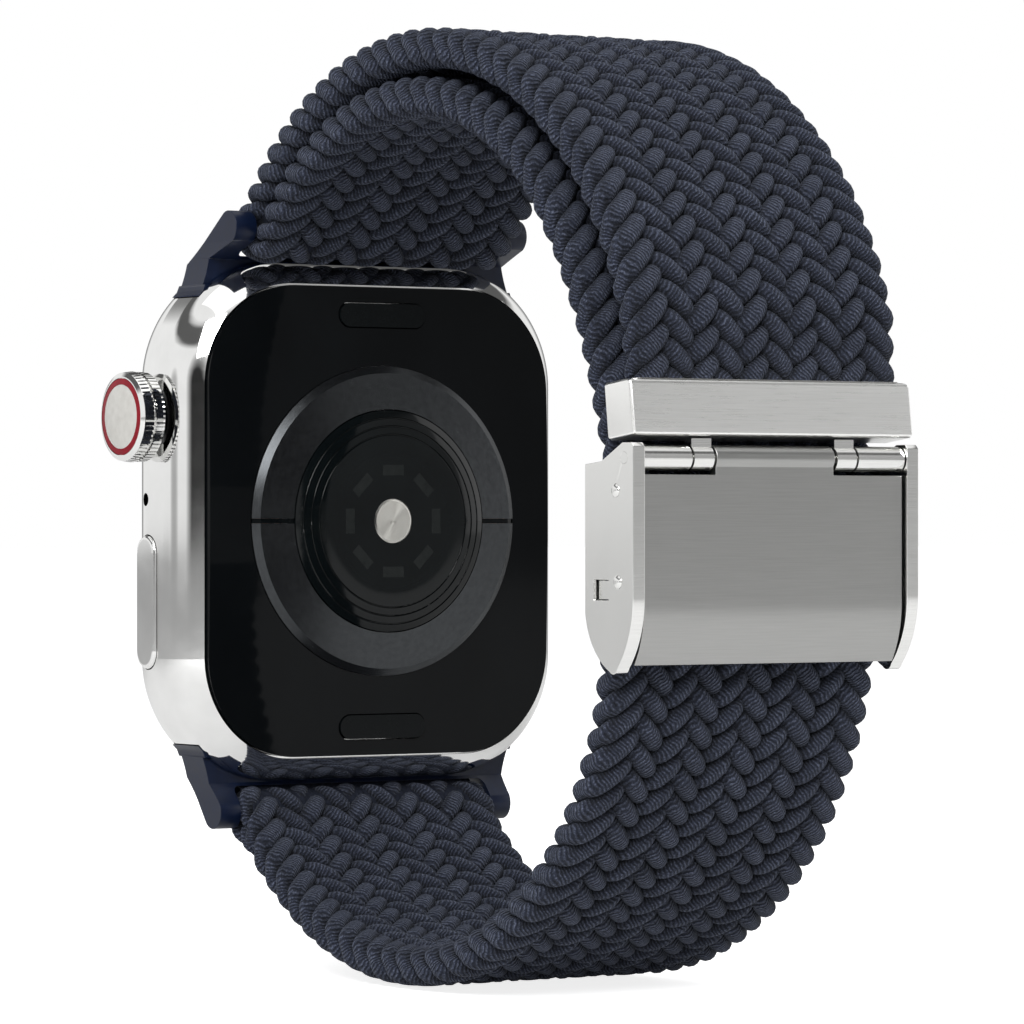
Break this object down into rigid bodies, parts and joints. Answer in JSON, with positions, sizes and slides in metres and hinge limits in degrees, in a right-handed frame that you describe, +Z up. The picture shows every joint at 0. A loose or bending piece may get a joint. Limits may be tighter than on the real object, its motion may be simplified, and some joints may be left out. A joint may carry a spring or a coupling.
{
  "type": "smartwatch with braided strap",
  "caption": "Rounded rectangular smartwatch with rear heart-rate sensor, turning crown and side button, on a looped two-layer braided strap with a flip clasp and slide-in connectors.",
  "frame": {"origin": "under the middle of the whole object, at the bottom of the strap's loop", "axes": "+Z up along the strap from 6 o'clock to 12 o'clock, +Y from the clasp towards the display, +X across the strap, away from the crown"},
  "size_m": [0.041, 0.0679, 0.0765],
  "materials": {
    "polished_steel": "mirror polished",
    "satin_steel": "satin",
    "spring_steel": "satin",
    "rear_glass": "gloss black",
    "display_glass": "gloss black",
    "sensor_crystal": "gloss black",
    "electrode": "dark polished coating",
    "sensor_window": "tinted",
    "lens_metal": "turned",
    "crown_red": "gloss",
    "crown_cap": "gloss",
    "connector": "satin",
    "braid": "knitted cord braid",
    "release_black": "gloss",
    "seal": "matte",
    "board": "matte",
    "copper": "bright",
    "cell": "satin",
    "frame_metal": "satin",
    "panel": "matte",
    "black_plastic": "matte"
  },
  "bodies": {
    "case": {"case_housing": "polished_steel", "front_glass": "display_glass", "display_panel": "panel", "display_gasket": "seal", "rear_cover": "rear_glass", "rear_gasket": "seal", "sensor_crystal": "sensor_crystal", "electrode_ring_upper": "electrode", "electrode_ring_lower": "electrode", "electrode_insulators": "release_black", "sensor_windows": "sensor_window", "centre_lens": "lens_metal", "sensor_board": "board", "charging_coil": "copper", "charging_magnet": "spring_steel", "inner_frame": "frame_metal", "battery": "cell", "main_board": "board", "haptic_motor": "frame_metal", "speaker": "black_plastic", "microphone": "black_plastic", "crown_bushing": "frame_metal", "crown_switch": "spring_steel", "side_button_switch": "spring_steel"},
    "crown_plunger": {"crown_shear_plate": "spring_steel"},
    "crown": {"crown_knob": "polished_steel", "crown_ring": "crown_red", "crown_cap": "crown_cap", "crown_shaft": "polished_steel"},
    "side_button": {"side_button_cap": "polished_steel", "side_button_stems": "spring_steel"},
    "upper_release": {"upper_release_button": "release_black"},
    "lower_release": {"lower_release_button": "release_black"},
    "band": {"upper_connector": "connector", "lower_connector": "connector", "upper_strap_pin": "satin_steel", "lower_strap_pin": "satin_steel", "braided_strap": "braid", "keeper_bar": "satin_steel", "keeper_link_left": "satin_steel", "keeper_link_right": "satin_steel", "clasp_side_plate_left": "satin_steel", "clasp_side_plate_right": "satin_steel", "clasp_back_plate": "satin_steel", "clasp_upper_pin": "satin_steel", "clasp_lower_pin": "satin_steel", "clasp_hinge_pin": "satin_steel", "clasp_hinge_sleeve_left": "satin_steel", "clasp_hinge_sleeve_right": "satin_steel"},
    "upper_lock": {"upper_lock_pin": "satin_steel"},
    "lower_lock": {"lower_lock_pin": "satin_steel"},
    "clasp_cover": {"clasp_cover": "satin_steel", "clasp_jaw": "satin_steel", "clasp_latch_spring": "spring_steel"}
  },
  "joints": [
    {"name": "crown_press", "type": "slide", "parent": "case", "child": "crown_plunger", "axis": [1, 0, 0], "range_m": [0, 0.0003], "stiffness_N_per_m": 1500},
    {"name": "crown_spin", "type": "hinge", "parent": "crown_plunger", "child": "crown", "pos_m": [-0.01748, 0.02825, 0.04588], "axis": [-1, 0, 0], "continuous": true},
    {"name": "side_button_press", "type": "slide", "parent": "case", "child": "side_button", "axis": [1, 0, 0], "range_m": [0, 0.0003], "stiffness_N_per_m": 1500},
    {"name": "upper_release_press", "type": "slide", "parent": "case", "child": "upper_release", "axis": [0, 1, 0], "range_m": [0, 0.0005], "stiffness_N_per_m": 800},
    {"name": "lower_release_press", "type": "slide", "parent": "case", "child": "lower_release", "axis": [0, 1, 0], "range_m": [0, 0.0005], "stiffness_N_per_m": 800},
    {"name": "band_slide", "type": "slide", "parent": "case", "child": "band", "axis": [1, 0, 0], "range_m": [0, 0.04]},
    {"name": "upper_lock_press", "type": "slide", "parent": "band", "child": "upper_lock", "axis": [0, 0, 1], "range_m": [0, 0.0004], "stiffness_N_per_m": 400},
    {"name": "lower_lock_press", "type": "slide", "parent": "band", "child": "lower_lock", "axis": [0, 0, -1], "range_m": [0, 0.0004], "stiffness_N_per_m": 400},
    {"name": "clasp_cover_hinge", "type": "hinge", "parent": "band", "child": "clasp_cover", "pos_m": [0.00153, -0.03275, 0.04193], "axis": [-1, 0, 0], "range_deg": [0, 100]}
  ]
}
